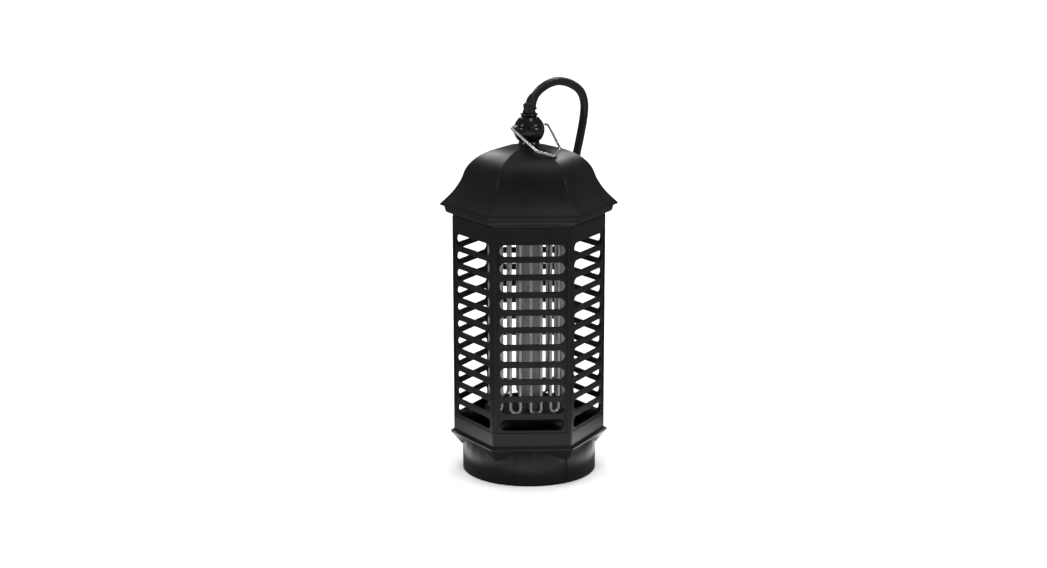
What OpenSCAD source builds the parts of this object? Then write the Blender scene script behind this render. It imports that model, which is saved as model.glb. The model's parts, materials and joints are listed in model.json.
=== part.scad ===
// Hexagonal lantern insect killer: a black cage with a violet lamp, a high-voltage grid
// of wire hairpins, a twist-off collection cup, a hanging bail and a mains lead.
// Millimetres, +Z up, -Y towards the front. The origin is on the floor under the lamp.

/* [Cage] */
// Radius of the cage across its corners
cage_r = 54; // [50:0.5:56]
// Height of the cage's top edge above the floor
cage_top = 183; // [176:1:190]
// Thickness of the cage's wall
wall = 2; // [1.6:0.1:2.4]
// Number of slots in each face
slot_count = 11; // [7:1:11]
// Height of one slot
slot_h = 8; // [6:0.5:8.5]
// Distance from one slot to the next
slot_pitch = 12.3; // [11.5:0.1:12.3]
// Length of a slot from end to end
slot_l = 44.6; // [38:0.2:45]

/* [Roof] */
// Radius of the eave's pointed corners
eave_r = 62.4; // [60:0.2:66]
// Height of the eave above the floor
eave_z = 191.8; // [190:0.2:193]
// Radius of the dome where it meets the eave's flare
dome_r = 47.4; // [45:0.2:49]
// Rise of the dome above its widest level
dome_h = 28; // [24:1:32]

/* [Collection cup] */
// Outer radius of the cup
cup_r = 47.4; // [46:0.2:48]
// Wall thickness of the cup
cup_wall = 1.8; // [1.4:0.1:2.4]

/* [Finial and bail] */
// Radius of the ball
ball_r = 10.8; // [10.2:0.2:11.4]
// Radius of the bail's wire
bail_wire_r = 0.95; // [0.8:0.05:0.98]
// Reach of the bail from its pivot to its tip
bail_reach = 35.5; // [32:0.5:36]

/* [Grid and lamp] */
// Radius of the ring of grid wires
grid_r = 28; // [26:0.5:29]
// Radius of one grid wire
grid_wire_r = 1; // [0.8:0.1:1.2]
// Radius of the lamp's glass tube
tube_r = 8; // [7.5:0.1:8]

/* [Mains lead] */
// Diameter of the lead
cord_d = 6; // [5:0.5:6]
// Number of turns across the stored coil
coil_turns_wide = 3; // [2:1:3]

/* [Hidden] */

$fn = 64;
SIDES = 6;
cos30 = cos(30);
eps = 0.01;
// Segments of a small hole or a thin rod
small_fn = 24;

// Cage levels
cage_apothem = cage_r * cos30;
cage_corner_r = 3;
band_low_top = 38.3;
panel_margin = 1.8;
panel_w = slot_l + 2 * panel_margin;
panel_inset = 0.4;
first_slot_z = band_low_top + panel_margin;
panel_top = first_slot_z + (slot_count - 1) * slot_pitch + slot_h + panel_margin;
lug_reach = 8.5;
lug_z = cage_top - 4;
seat_reach = 6;
seat_h = 3;
seat_grip = 1.5;
inner_r = cage_r - wall / cos30;
lug_hole_r = 1.7;
screw_ring_r = 47;

// Roof levels
roof_wall = 2;
dome_z = 204.4;
dome_power = 2.3;
dome_steps = 9;
flare_steps = 6;
flare_top_z = 211.5;
flare_pull_r = 50.8;
flare_pull_z = 201.4;
roof_corner_r = 2.6;
eave_corner_r = 1.2;
fascia_r = 59.3;
cornice_r = 55.6;
roof_hole_r = 6.4;
roof_rim_r = 45;

// Base ring and cup levels
flange_r = 56.3;
flange_z = 26.4;
flare_z = 29;
flange_edge = 0.8;
skirt_z = 16.4;
cage_bottom = flare_z;
ledge_z = 25;
ledge_t = 2;
neck_r = 43;
cup_gap = 0.3;
neck_play = 0.4;
lug_half_deg = 7;
notch_half_deg = 9;
unlock_deg = 30;
cup_top = ledge_z - cup_gap;
neck_top = 30.4;
cup_floor = 2;
groove_deg = -60;
groove_w = 1.2;
groove_h = 15;
groove_depth = 0.5;
lug_t = 2;
lug_out = 1.5;

// Finial levels
ball_z = 243.3;
pivot_z = 246;
neck_bottom = 231.8;
finial_neck_r = 7.3;
stem_r = 5.4;
stem_bottom = 221;
cord_bore_r = 3.4;
pivot_hole_r = bail_wire_r + 0.05;
pivot_turn = 30;
bail_rest_deg = 29.5;
bail_half_w = 15.5;
bail_waist = 9.8;
bail_shoulder = 28.5;
bail_inner = 5.2;
collar_z = 252.6;
collar_r = 6.1;

// Decks
deck_z = 174;
deck_t = 3;
lower_deck_z = 38.3;
lower_deck_top = 44.4;
lower_deck_r = 31.5;
arm_reach = 49.4;
arm_w = 7;
arm_t = 3;
rod_curb_out = 1.4;
rod_curb_in = 1.8;
rod_curb_h = 1.8;
riser_hole_r = 2;

// Grid hairpins
pair_count = 12;
rod_step = 360 / (2 * pair_count);
rod_top = 180;
bend_r = grid_r * sin(rod_step / 2);
rod_plane_r = grid_r * cos(rod_step / 2);
bend_z = lower_deck_top + 2 + bend_r;
bus_t = 0.8;
bus_z = deck_z + deck_t;
live_bus_in = 21.5;
live_bus_out = 24;
return_bus_in = 32;
return_bus_out = 34.5;
bus_tab_w = 3.6;
bus_tab_past = 1.8;

// Lamp
lamp_bottom = 43.2;
lamp_length = 135.9;
lamp_cap_l = 8;
pin_l = 7;
pin_r = 1.1;
pin_gap = 4.75;
pin_play = 0.05;
tube_wall = 0.8;
tube_play = 0.5;
holder_r = 10.5;
holder_foot = 6;
holder_head = 10;

// Electronics
board_z = 194;
board_t = 1.6;
board_r = 41;
post_r = 2.6;
post_bore_r = 1.2;
post_ring_r = 37.5;
board_top = board_z + board_t;
nut_r = 9;
nut_z = 226;
nut_h = 3.6;
// Parts on the board: where each stands, and its size
core_at = [-22, -7];
core_size = [16, 14, 13];
core_foot = 2.5;
core_window = [9, 8];
winding_gap = 0.1;
winding_over = 2;
film_at = [[4, -20], [4, -11], [-4, 14]];
film_size = [[12, 6, 11], [12, 6, 11], [15, 7, 12]];
can_at = [16, 4];
can_r = 5;
can_h = 16;
diode_at = [[-8, -24], [-8, -20], [-12, -14], [-24, 10], [-24, 14]];
diode_r = 1.4;
diode_l = 5;
resistor_at = [[-2, 4], [-2, 8], [-18, -24]];
resistor_r = 1.2;
resistor_l = 6.5;
terminal_at = [-22, 17];
terminal_size = [11, 8, 9];
terminal_hole_r = 1.5;
terminal_hole_x = [2.9, 8.1];
lead_wire_r = 0.8;
// The lamp's wires rise beside a corner: how far out, and how far to its side
wire_r = 0.6;
riser_r = 40.4;
riser_side = 4.5;
riser_half = 0.8;

// Cord
cord_r = cord_d / 2;
coil_centre = [0, 104];
coil_mid_r = 5 * cord_d;
coil_out_r = coil_mid_r + coil_turns_wide * cord_r;
coil_in_r = coil_mid_r - coil_turns_wide * cord_r;
coil_h = 2 * cord_d;
// The top layer's outermost strand goes only part of the way round
last_strand_from = -110;
last_strand_deg = 287;
tie_deg = 140;
tie_gap = 0.4;
tie_t = 1.2;
tie_w = 6;
// The lead's run from the strain relief over the top and down behind the body
cord_route = [[3.5, 5, 265], [8, 11.5, 269.2], [14.7, 21, 272.2], [23, 33, 272.6],
              [32, 46, 269], [39.6, 57, 262.4], [43, 65, 253], [43, 70, 242], [41, 73, 228],
              [38, 74.6, 212], [35.6, 75.6, 196], [34.4, 76, 180], [34, 76, 160],
              [34, 76, 130], [34, 76, 100], [34, 76, 70], [34, 76, 48], [34.2, 76.4, 36],
              [35.4, 79.4, 23], [38.4, 87.4, 11.4], [42, 98, 4.4], [45, 110, 3],
              [43.2, 121, 3], [37.2, 131, 3], [28, 138.4, 3], [16.6, 142.8, 3],
              [4.6, 143.8, 3], [-6.6, 141.6, 3]];
// The short run from the coil's top up to the plug
plug_route = [[-36, 106, 9], [-36.2, 100, 10.2], [-35.4, 93.5, 12.4], [-32.9, 87.5, 14.8],
              [-28.9, 82.3, 17], [-23.7, 78.4, 18.2], [-17.3, 75.7, 18.4], [-13.4, 74.8, 18.4]];
// The strain relief's centre line, and its radius at each point
gland_route = [[0, 0, 240], [0, 0, 252], [0.1, 0.1, 255], [0.3, 0.5, 257.2], [0.5, 0.7, 258.2],
               [0.8, 1.1, 259.2], [1.1, 1.5, 260], [1.9, 2.7, 262.4], [2.7, 3.8, 264],
               [3.5, 5, 265]];
gland_radii = [3.3, 3.3, 4.6, 4.1, 4.8, 4.8, 4, 3.7, 3.5, 3.4];
plug_at = [-13.4, 74.8, 18.4];
plug_turn = -14;
plug_half_t = 6.4;
// Width and length of the plug's shoulder and of its head
plug_shoulder = [18, 8];
plug_head = [23, 15];
plug_neck_l = 7;
plug_head_z = plug_neck_l + plug_shoulder[1] - 1;
blade_size = [16, 1.5, 6.4];
blade_gap = 12.7;

// ---------- outlines and helpers ----------

// Corner points of a hexagon whose corners are rounded by an arc
function hex_points(r, corner_r, arcs = 4) =
    [for (k = [0 : SIDES - 1]) for (j = [0 : arcs])
        let (mid = k * 60, turn = mid - 30 + j * 60 / arcs, back = corner_r / cos30)
        [(r - back) * cos(mid) + corner_r * cos(turn),
         (r - back) * sin(mid) + corner_r * sin(turn)]];

module hexagon(r, corner_r = cage_corner_r) { polygon(hex_points(r, corner_r)); }

module hex_ring(outer, inner, z0, z1) {
    translate([0, 0, z0]) linear_extrude(z1 - z0) difference() {
        hexagon(outer);
        hexagon(inner, cage_corner_r - 1);
    }
}

module pipe(outer, inner, z0, z1) {
    translate([0, 0, z0]) difference() {
        cylinder(r = outer, h = z1 - z0);
        translate([0, 0, -1]) cylinder(r = inner, h = z1 - z0 + 2);
    }
}

module around(count, start = 0) {
    for (k = [0 : count - 1]) rotate(start + k * 360 / count) children();
}

// Faces of a closed loop of rings, each with n points
function loop_faces(rings, n) =
    [for (i = [0 : rings - 1]) for (j = [0 : n - 1])
        [i * n + j, i * n + (j + 1) % n,
         ((i + 1) % rings) * n + (j + 1) % n, ((i + 1) % rings) * n + j]];

// Faces of an open tube of rings with flat ends
function tube_faces(rings, n) =
    concat([[for (j = [n - 1 : -1 : 0]) j]],
           [for (i = [0 : rings - 2]) for (j = [0 : n - 1])
               [i * n + j, i * n + (j + 1) % n, (i + 1) * n + (j + 1) % n, (i + 1) * n + j]],
           [[for (j = [0 : n - 1]) (rings - 1) * n + j]]);

function unit(v) = v / norm(v);
function heading(p, i) = unit(p[min(i + 1, len(p) - 1)] - p[max(i - 1, 0)]);
// A side direction at each point of a path, carried along it without twist
function carried(p, i, u) = i >= len(p) ? []
    : let (t = heading(p, i), w = unit(u - (u * t) * t)) concat([w], carried(p, i + 1, w));
function sides_along(p) = carried(p, 0, cross(heading(p, 0), [0.3, 0.9, 0.35]));

// A point between b and c on a smooth curve through a, b, c and d
function between(a, b, c, d, t) =
    0.5 * (2 * b + (c - a) * t + (2 * a - 5 * b + 4 * c - d) * t * t
           + (3 * b - a - 3 * c + d) * t * t * t);
function smooth_path(p, parts) =
    concat([for (i = [0 : len(p) - 2]) for (k = [0 : parts - 1])
               between(p[max(i - 1, 0)], p[i], p[i + 1], p[min(i + 2, len(p) - 1)], k / parts)],
           [p[len(p) - 1]]);

module sweep(path, radii, sides = 8) {
    n = len(path);
    across = sides_along(path);
    points = [for (i = [0 : n - 1]) let (u = across[i], v = cross(heading(path, i), u))
                 for (j = [0 : sides - 1])
                     path[i] + radii[i] * (u * cos(j * 360 / sides) + v * sin(j * 360 / sides))];
    polyhedron(points, [for (f = tube_faces(n, sides)) [for (k = [len(f) - 1 : -1 : 0]) f[k]]]);
}

// Points of a path in the XY plane through the given corners, each rounded by an arc
function rounded_path(p, bend, steps = 4) =
    concat([[p[0][0], p[0][1], 0]],
           [for (i = [1 : len(p) - 2])
               let (a = unit(p[i - 1] - p[i]), b = unit(p[i + 1] - p[i]),
                    half = acos(a * b) / 2, inward = unit(a + b),
                    centre = p[i] + inward * bend / sin(half),
                    side = sign(a[0] * b[1] - a[1] * b[0]),
                    middle = atan2(-inward[1], -inward[0]))
               for (k = [0 : steps]) let (turn = middle + side * (90 - half) * (1 - 2 * k / steps))
                   [centre[0] + bend * cos(turn), centre[1] + bend * sin(turn), 0]],
           [[p[len(p) - 1][0], p[len(p) - 1][1], 0]]);

module screw(head_r, head_h, shank_r, length) {
    translate([0, 0, -head_h]) difference() {
        cylinder(r = head_r, h = head_h);
        for (a = [0, 90]) rotate(a) translate([-head_r * 0.6, -0.4, -1])
            cube([head_r * 1.2, 0.8, 1.8]);
    }
    cylinder(r = shank_r, h = length);
}

// ---------- roof and finial ----------

function dome_point(a, r, h) =
    [r * pow(max(0, 1 - pow(cos(a), dome_power)), 1 / dome_power), dome_z + h * cos(a)];
function dome_profile(r, h, first_r, last_z) =
    let (first = asin(min(1, pow(first_r / r, dome_power / 2))), last = acos((last_z - dome_z) / h))
    [for (k = [0 : dome_steps]) dome_point(first + (last - first) * k / dome_steps, r, h)];
function flare_profile(p0, p1, p2) =
    [for (k = [1 : flare_steps]) let (t = k / flare_steps)
        (1 - t) * (1 - t) * p0 + 2 * t * (1 - t) * p1 + t * t * p2];
function arc_profile(centre, r, a0, a1, steps) =
    [for (k = [0 : steps]) let (a = a0 + (a1 - a0) * k / steps) centre + r * [cos(a), sin(a)]];

function roof_profile() =
    let (outer = dome_profile(dome_r, dome_h, roof_hole_r, flare_top_z),
         inner = dome_profile(dome_r - roof_wall - 0.3, dome_h - roof_wall, roof_hole_r,
                              flare_top_z - 1),
         flare = flare_profile(outer[dome_steps], [flare_pull_r, flare_pull_z],
                               [eave_r, eave_z]))
    concat(outer, flare,
           [[eave_r - 0.2, eave_z - 0.8], [fascia_r, eave_z - 1.6], [fascia_r, eave_z - 3.6]],
           arc_profile([fascia_r - 3.4, eave_z - 3.6], 3, 0, -90, 3),
           arc_profile([cornice_r, cage_top], 2, 90, 180, 2),
           [[roof_rim_r, cage_top], [roof_rim_r, eave_z + 4]],
           [for (k = [dome_steps : -1 : 0]) inner[k]]);

module roof_shell() {
    profile = roof_profile();
    arcs = 3;
    count = SIDES * (arcs + 1);
    rings = [for (p = profile)
        let (soft = p[0] > cage_r + 3 ? eave_corner_r : min(roof_corner_r, p[0] * 0.25))
        [for (q = hex_points(p[0], soft, arcs)) [q[0], q[1], p[1]]]];
    points = [for (ring = rings) for (q = ring) q];
    color("#141416") polyhedron(points, loop_faces(len(profile), count));
}

module pivot_bores() {
    translate([0, 0, pivot_z]) rotate([0, 0, pivot_turn]) rotate([0, 90, 0])
        translate([0, 0, -ball_r - 2]) cylinder(r = pivot_hole_r, h = 2 * ball_r + 4, $fn = 32);
}

module finial_lower() {
    color("#0f0f11") difference() {
        union() {
            translate([0, 0, ball_z]) intersection() {
                sphere(r = ball_r);
                translate([0, 0, -ball_r - 1])
                    cylinder(r = ball_r + 1, h = ball_r + 1 + pivot_z - ball_z);
            }
            translate([0, 0, neck_bottom + 0.7]) cylinder(r = finial_neck_r, h = 5);
            translate([0, 0, stem_bottom]) cylinder(r = stem_r, h = 14);
        }
        translate([0, 0, stem_bottom - 1]) cylinder(r = cord_bore_r, h = 40);
        pivot_bores();
    }
}

module finial_cap() {
    color("#1a1a1c") difference() {
        union() {
            translate([0, 0, ball_z]) intersection() {
                sphere(r = ball_r - 0.15);
                translate([0, 0, pivot_z - ball_z]) cylinder(r = ball_r + 1, h = ball_r);
            }
            translate([0, 0, collar_z - 0.6]) cylinder(r1 = collar_r - 0.9, r2 = collar_r, h = 2.4);
        }
        translate([0, 0, pivot_z - 1]) cylinder(r = cord_bore_r, h = 7.6);
        translate([0, 0, collar_z + 0.4]) cylinder(r = collar_r - 1.2, h = 3);
        pivot_bores();
    }
}

module finial_nut() {
    color("silver") translate([0, 0, nut_z]) difference() {
        cylinder(r = nut_r, h = nut_h, $fn = SIDES);
        translate([0, 0, -1]) cylinder(r = stem_r, h = nut_h + 2);
    }
}

module cord_gland() {
    color("#202022") sweep(gland_route, gland_radii, 16);
}

// ---------- cage ----------

// Places children on face k, with X along the face, Y outwards and Z up
module on_face(k) { rotate(k * 60) children(); }

// A web across the inside of corner k, from z0 to z1, let into the wall within grip of it
module corner_web(k, z0, z1, reach, grip) {
    translate([0, 0, z0]) linear_extrude(z1 - z0)
        for (part = [[inner_r - 0.05, reach], [cage_r - wall / 2, grip]]) intersection() {
            hexagon(part[0], 2);
            rotate(k * 60) translate([inner_r, 0]) circle(r = part[1]);
        }
}

module cage_frame() {
    window_h = panel_top - band_low_top;
    color("#161618") {
        difference() {
            hex_ring(cage_r, inner_r, cage_bottom, cage_top);
            for (k = [0 : SIDES - 1]) on_face(k)
                translate([-panel_w / 2, -cage_apothem - 1, band_low_top])
                    cube([panel_w, wall + 3, window_h]);
        }
        difference() {
            for (k = [0 : 2 : 4]) corner_web(k, lug_z, cage_top, lug_reach, lug_reach);
            around(3) translate([screw_ring_r, 0, lug_z - 1])
                cylinder(r = lug_hole_r, h = cage_top - lug_z + 2, $fn = 32);
        }
        for (k = [0 : SIDES - 1], top = [lower_deck_z, deck_z])
            corner_web(k, top - seat_h, top, seat_reach, seat_grip);
    }
}

module grille(k) {
    t = wall - panel_inset;
    color("#161618") on_face(k) translate([0, -cage_apothem + wall, 0]) rotate([90, 0, 0])
        linear_extrude(t) difference() {
            translate([-panel_w / 2, band_low_top]) square([panel_w, panel_top - band_low_top]);
            for (i = [0 : slot_count - 1]) translate([0, first_slot_z + i * slot_pitch + slot_h / 2]) {
                square([slot_l - slot_h, slot_h], center = true);
                for (s = [-1, 1]) translate([s * (slot_l - slot_h) / 2, 0]) circle(d = slot_h);
            }
        }
}
module grille_front() { grille(0); }
module grille_front_right() { grille(1); }
module grille_back_right() { grille(2); }
module grille_back() { grille(3); }
module grille_back_left() { grille(4); }
module grille_front_left() { grille(5); }

module base_ring() {
    steps = 3;
    arcs = 3;
    cove = flare_z - flange_z - flange_edge;
    profile = concat([[cup_r + cup_gap, skirt_z], [flange_r, flange_z],
                      [flange_r, flange_z + flange_edge]],
                     [for (k = [1 : steps]) let (a = 90 * k / steps)
                         [flange_r - (flange_r - cage_r) * sin(a),
                          flange_z + flange_edge + cove * (1 - cos(a))]]);
    count = SIDES * (arcs + 1);
    rings = [for (p = profile) [for (q = hex_points(p[0], 2, arcs)) [q[0], q[1], p[1]]]];
    points = [for (ring = rings) for (q = ring) q];
    faces = [for (f = tube_faces(len(rings), count)) [for (k = [len(f) - 1 : -1 : 0]) f[k]]];
    color("#141416") difference() {
        polyhedron(points, faces);
        translate([0, 0, skirt_z - 1]) cylinder(r = cup_r + cup_gap, h = ledge_z - skirt_z + 1);
        translate([0, 0, ledge_z - 1]) cylinder(r = neck_r + neck_play, h = flare_z);
        translate([0, 0, ledge_z + ledge_t]) cylinder(r = neck_r + lug_out + neck_play + 0.1, h = flare_z);
        around(3, -unlock_deg) translate([0, 0, ledge_z - 1]) rotate(-notch_half_deg)
            rotate_extrude(angle = 2 * notch_half_deg)
                translate([neck_r - 1, 0]) square([1 + lug_out + neck_play, ledge_t + 2]);
    }
}

// ---------- decks, grid and lamp ----------

module rod_places() {
    for (k = [0 : 2 * pair_count - 1]) rotate(-90 + k * rod_step) translate([grid_r, 0]) children();
}

module upper_deck() {
    color("#2a2a2c") translate([0, 0, deck_z]) linear_extrude(deck_t) difference() {
        hexagon(inner_r - 0.4, 2);
        circle(r = tube_r + tube_play);
        rod_places() circle(r = grid_wire_r + 0.1, $fn = small_fn);
        rotate(60) translate([riser_r, riser_side]) circle(r = riser_hole_r, $fn = small_fn);
    }
}

module lower_deck() {
    color("#111113") {
        pipe(lower_deck_r, tube_r + tube_play, lower_deck_z, lower_deck_top);
        around(SIDES) translate([lower_deck_r - 1, -arm_w / 2, lower_deck_z])
            cube([arm_reach - lower_deck_r + 1, arm_w, arm_t]);
        pipe(grid_r + rod_curb_out, grid_r - rod_curb_in, lower_deck_top - eps,
             lower_deck_top + rod_curb_h);
    }
}

module hairpin() {
    for (s = [-1, 1]) translate([rod_plane_r, s * bend_r, bend_z])
        cylinder(r = grid_wire_r, h = rod_top - bend_z, $fn = small_fn);
    translate([rod_plane_r, 0, bend_z]) rotate([-90, 0, 90]) rotate_extrude(angle = 180)
        translate([bend_r, 0]) circle(r = grid_wire_r, $fn = small_fn);
}

module hairpins(first) {
    around(pair_count / 2, -90 + rod_step / 2 + first * 2 * rod_step) hairpin();
}
module grid_live() { color("#c8c8c4") hairpins(0); }
module grid_return() { color("#c8c8c4") hairpins(1); }

module bus(ring_in, ring_out, tab_from, tab_to, first) {
    pipe(ring_out, ring_in, bus_z, bus_z + bus_t);
    around(pair_count / 2, -90 + rod_step / 2 + first * 2 * rod_step)
        for (s = [-1, 1]) rotate(s * rod_step / 2) difference() {
            translate([tab_from, -bus_tab_w / 2, bus_z]) cube([tab_to - tab_from, bus_tab_w, bus_t]);
            translate([grid_r, 0, bus_z - 1]) cylinder(r = grid_wire_r, h = 3, $fn = small_fn);
        }
}
module live_bus() {
    color("#b08d57") bus(live_bus_in, live_bus_out, live_bus_out - 0.5, grid_r + bus_tab_past, 0);
}
module return_bus() {
    color("#b08d57") bus(return_bus_in, return_bus_out, grid_r - bus_tab_past, return_bus_in + 0.5, 1);
}

module lamp_tube() {
    color("#8f6fd0") pipe(tube_r, tube_r - tube_wall, lamp_bottom + lamp_cap_l,
                          lamp_bottom + lamp_length - lamp_cap_l);
}
module lamp_caps() {
    color("silver") for (z = [lamp_bottom, lamp_bottom + lamp_length - lamp_cap_l])
        translate([0, 0, z]) cylinder(r = tube_r, h = lamp_cap_l);
}
module lamp_pins() {
    color("gold") for (s = [-1, 1], z = [lamp_bottom - pin_l, lamp_bottom + lamp_length])
        translate([s * pin_gap / 2, 0, z]) cylinder(r = pin_r, h = pin_l, $fn = small_fn);
}
module lamp_holder(block_z, block_h, sleeve_z, sleeve_h) {
    difference() {
        union() {
            translate([0, 0, block_z]) cylinder(r = holder_r, h = block_h);
            translate([0, 0, sleeve_z]) cylinder(r = holder_r, h = sleeve_h);
        }
        translate([0, 0, lamp_bottom]) cylinder(r = tube_r + 0.2, h = lamp_length);
        for (s = [-1, 1]) translate([s * pin_gap / 2, 0, lamp_bottom - pin_l - 0.5])
            cylinder(r = pin_r + pin_play, h = lamp_length + 2 * pin_l + 1, $fn = small_fn);
    }
}
module upper_lamp_holder() {
    top = lamp_bottom + lamp_length;
    color("#e8e6df") lamp_holder(top, holder_head, bus_z, top - bus_z);
}
module lower_lamp_holder() {
    foot_z = lower_deck_z - holder_foot;
    color("#e8e6df") lamp_holder(foot_z, holder_foot, foot_z, holder_foot);
}

// ---------- electronics ----------

module circuit_board() {
    color("#2f6b3a") translate([0, 0, board_z]) linear_extrude(board_t) difference() {
        hexagon(board_r);
        around(3, 60) translate([post_ring_r, 0]) circle(r = post_bore_r, $fn = small_fn);
    }
}
module board_posts() {
    color("#2a2a2c") around(3, 60) translate([post_ring_r, 0, 0])
        pipe(post_r, post_bore_r, deck_z + deck_t, board_z);
}
module board_screws() {
    color("silver") around(3, 60) translate([post_ring_r, 0, board_top]) rotate([180, 0, 0])
        screw(2.6, 1.6, post_bore_r, 8);
}
module roof_screws() {
    color("silver") around(3) translate([screw_ring_r, 0, lug_z]) screw(2.8, 1.8, 1.5, 12);
}
module ballast_core() {
    window_x = (core_size[0] - core_window[0]) / 2;
    color("#3a3a3c") translate([core_at[0], core_at[1], board_top]) difference() {
        cube(core_size);
        translate([window_x, -1, core_foot]) cube([core_window[0], core_size[1] + 2, core_window[1]]);
    }
}
module ballast_coil() {
    window_x = (core_size[0] - core_window[0]) / 2;
    color("#b5651d") translate([core_at[0] + window_x + winding_gap, core_at[1] - winding_over,
                                board_top + core_foot + winding_gap])
        cube([core_window[0] - 2 * winding_gap, core_size[1] + 2 * winding_over,
              core_window[1] - 2 * winding_gap]);
}
module film_capacitors() {
    color("#a33a2a") for (k = [0 : len(film_at) - 1])
        translate([film_at[k][0], film_at[k][1], board_top]) cube(film_size[k]);
}
module electrolytic_capacitor() {
    color("#23364f") translate([can_at[0], can_at[1], board_top]) cylinder(r = can_r, h = can_h);
}
module axial_parts(places, r, length) {
    for (p = places) translate([p[0], p[1], board_top + r]) rotate([0, 90, 0])
        cylinder(r = r, h = length, $fn = small_fn);
}
module diodes() { color("#1b1b1b") axial_parts(diode_at, diode_r, diode_l); }
module resistors() { color("#c9a66b") axial_parts(resistor_at, resistor_r, resistor_l); }
module terminal_block() {
    color("#4b8f5a") translate([terminal_at[0], terminal_at[1], board_top]) difference() {
        cube(terminal_size);
        for (x = terminal_hole_x) translate([x, terminal_size[1] / 2, terminal_size[2] / 2])
            cylinder(r = terminal_hole_r, h = terminal_size[2], $fn = small_fn);
    }
}
module lead_wires() {
    color("#3b4ea0") for (s = [-1, 1]) {
        path = smooth_path([[1.2 * s, 0.2, 240], [1.3 * s, 1, 222], [-4 + s, 6 + s, 216],
                            [-12 + 1.6 * s, 14 + 0.6 * s, 214], [-16.5 + 2.6 * s, 20, 211],
                            [-16.5 + 2.6 * s, 21, 206], [-16.5 + 2.6 * s, 21, 201.5]], 3);
        sweep(path, [for (p = path) lead_wire_r], 8);
    }
}
module lamp_wires() {
    under = lower_deck_z - 4.1;
    color("#202022") rotate(60) for (s = [-1, 1]) {
        shift = s * riser_half;
        path = smooth_path([[holder_r, 1.4, under - shift], [20, 3.2, under - shift],
                            [31, riser_side, under - shift],
                            [37.5 + shift, riser_side, under + 1.2 - shift],
                            [riser_r + shift, riser_side, lower_deck_top],
                            [riser_r + shift, riser_side, 110],
                            [riser_r + shift, riser_side, deck_z + 2],
                            [riser_r - 1 + shift, riser_side, 184],
                            [riser_r - 4.4 + shift, riser_side, board_z]], 3);
        sweep(path, [for (p = path) wire_r], 6);
    }
}

// ---------- cup, bail and cord ----------

module collection_cup() {
    color("#121214") difference() {
        union() {
            cylinder(r = cup_r, h = cup_top);
            cylinder(r = neck_r, h = neck_top);
            around(3) translate([0, 0, ledge_z + ledge_t + cup_gap]) rotate(-lug_half_deg)
                rotate_extrude(angle = 2 * lug_half_deg)
                    translate([neck_r - 1, 0]) square([1 + lug_out, lug_t]);
        }
        translate([0, 0, cup_floor]) cylinder(r = neck_r - cup_wall, h = neck_top);
        translate([0, 0, cup_floor]) cylinder(r = cup_r - cup_wall, h = cup_top - 2 * cup_wall);
        rotate(groove_deg) translate([cup_r - groove_depth, -groove_w / 2, cup_floor])
            cube([2, groove_w, groove_h]);
    }
}

module hanging_bail() {
    stub_end = bail_half_w - 3.5;
    path = rounded_path([[stub_end - 0.5, 0], [bail_half_w, 0], [bail_waist, bail_shoulder],
                         [0, bail_reach], [-bail_waist, bail_shoulder], [-bail_half_w, 0],
                         [0.5 - stub_end, 0]], 2.4);
    color("silver") translate([0, 0, pivot_z]) rotate([0, 0, pivot_turn])
        rotate([180 + bail_rest_deg, 0, 0]) {
            for (s = [0, 180]) rotate(s) translate([bail_inner, 0, 0]) rotate([0, 90, 0])
                cylinder(r = bail_wire_r, h = stub_end - bail_inner);
            sweep(path, [for (q = path) bail_wire_r - 0.02], 12);
        }
}

module power_cord() {
    path = smooth_path(cord_route, 3);
    color("#1c1c1e") sweep(path, [for (p = path) cord_r], 10);
}
module cord_coil() {
    color("#1c1c1e") translate([coil_centre[0], coil_centre[1], 0]) {
        rotate_extrude() polygon([[coil_in_r, 0], [coil_out_r, 0], [coil_out_r, cord_d],
                                  [coil_out_r - cord_d, cord_d], [coil_out_r - cord_d, coil_h],
                                  [coil_in_r, coil_h]]);
        rotate(last_strand_from) rotate_extrude(angle = last_strand_deg)
            translate([coil_out_r - cord_d - 1, cord_d - 1]) square(cord_d + 0.9);
    }
}
module coil_tie() {
    color("#303032") translate([coil_centre[0], coil_centre[1], 0]) rotate(tie_deg)
        translate([coil_mid_r, 0, 0]) difference() {
            w = coil_out_r - coil_in_r + 2 * tie_gap;
            translate([-w / 2 - tie_t, -tie_w / 2, 0]) cube([w + 2 * tie_t, tie_w, coil_h + tie_t]);
            translate([-w / 2, -tie_w, -1]) cube([w, 2 * tie_w, coil_h + 1]);
        }
}
module plug_lead() {
    path = smooth_path(plug_route, 2);
    color("#1c1c1e") sweep(path, [for (p = path) cord_r], 10);
}
module at_plug() { translate(plug_at) rotate([0, 0, plug_turn]) children(); }
module plug_body() {
    color("#1c1c1e") at_plug() rotate([0, 90, 0]) {
        cylinder(r = cord_r + 1.2, h = plug_neck_l + 1);
        translate([-plug_half_t, -plug_shoulder[0] / 2, plug_neck_l])
            cube([2 * plug_half_t, plug_shoulder[0], plug_shoulder[1]]);
        translate([-plug_half_t, -plug_head[0] / 2, plug_head_z])
            cube([2 * plug_half_t, plug_head[0], plug_head[1]]);
    }
}
module plug_blades() {
    color("gold") at_plug() for (s = [-1, 1])
        translate([plug_head_z + plug_head[1], (s * blade_gap - blade_size[1]) / 2, -blade_size[2] / 2])
            cube(blade_size);
}

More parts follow.
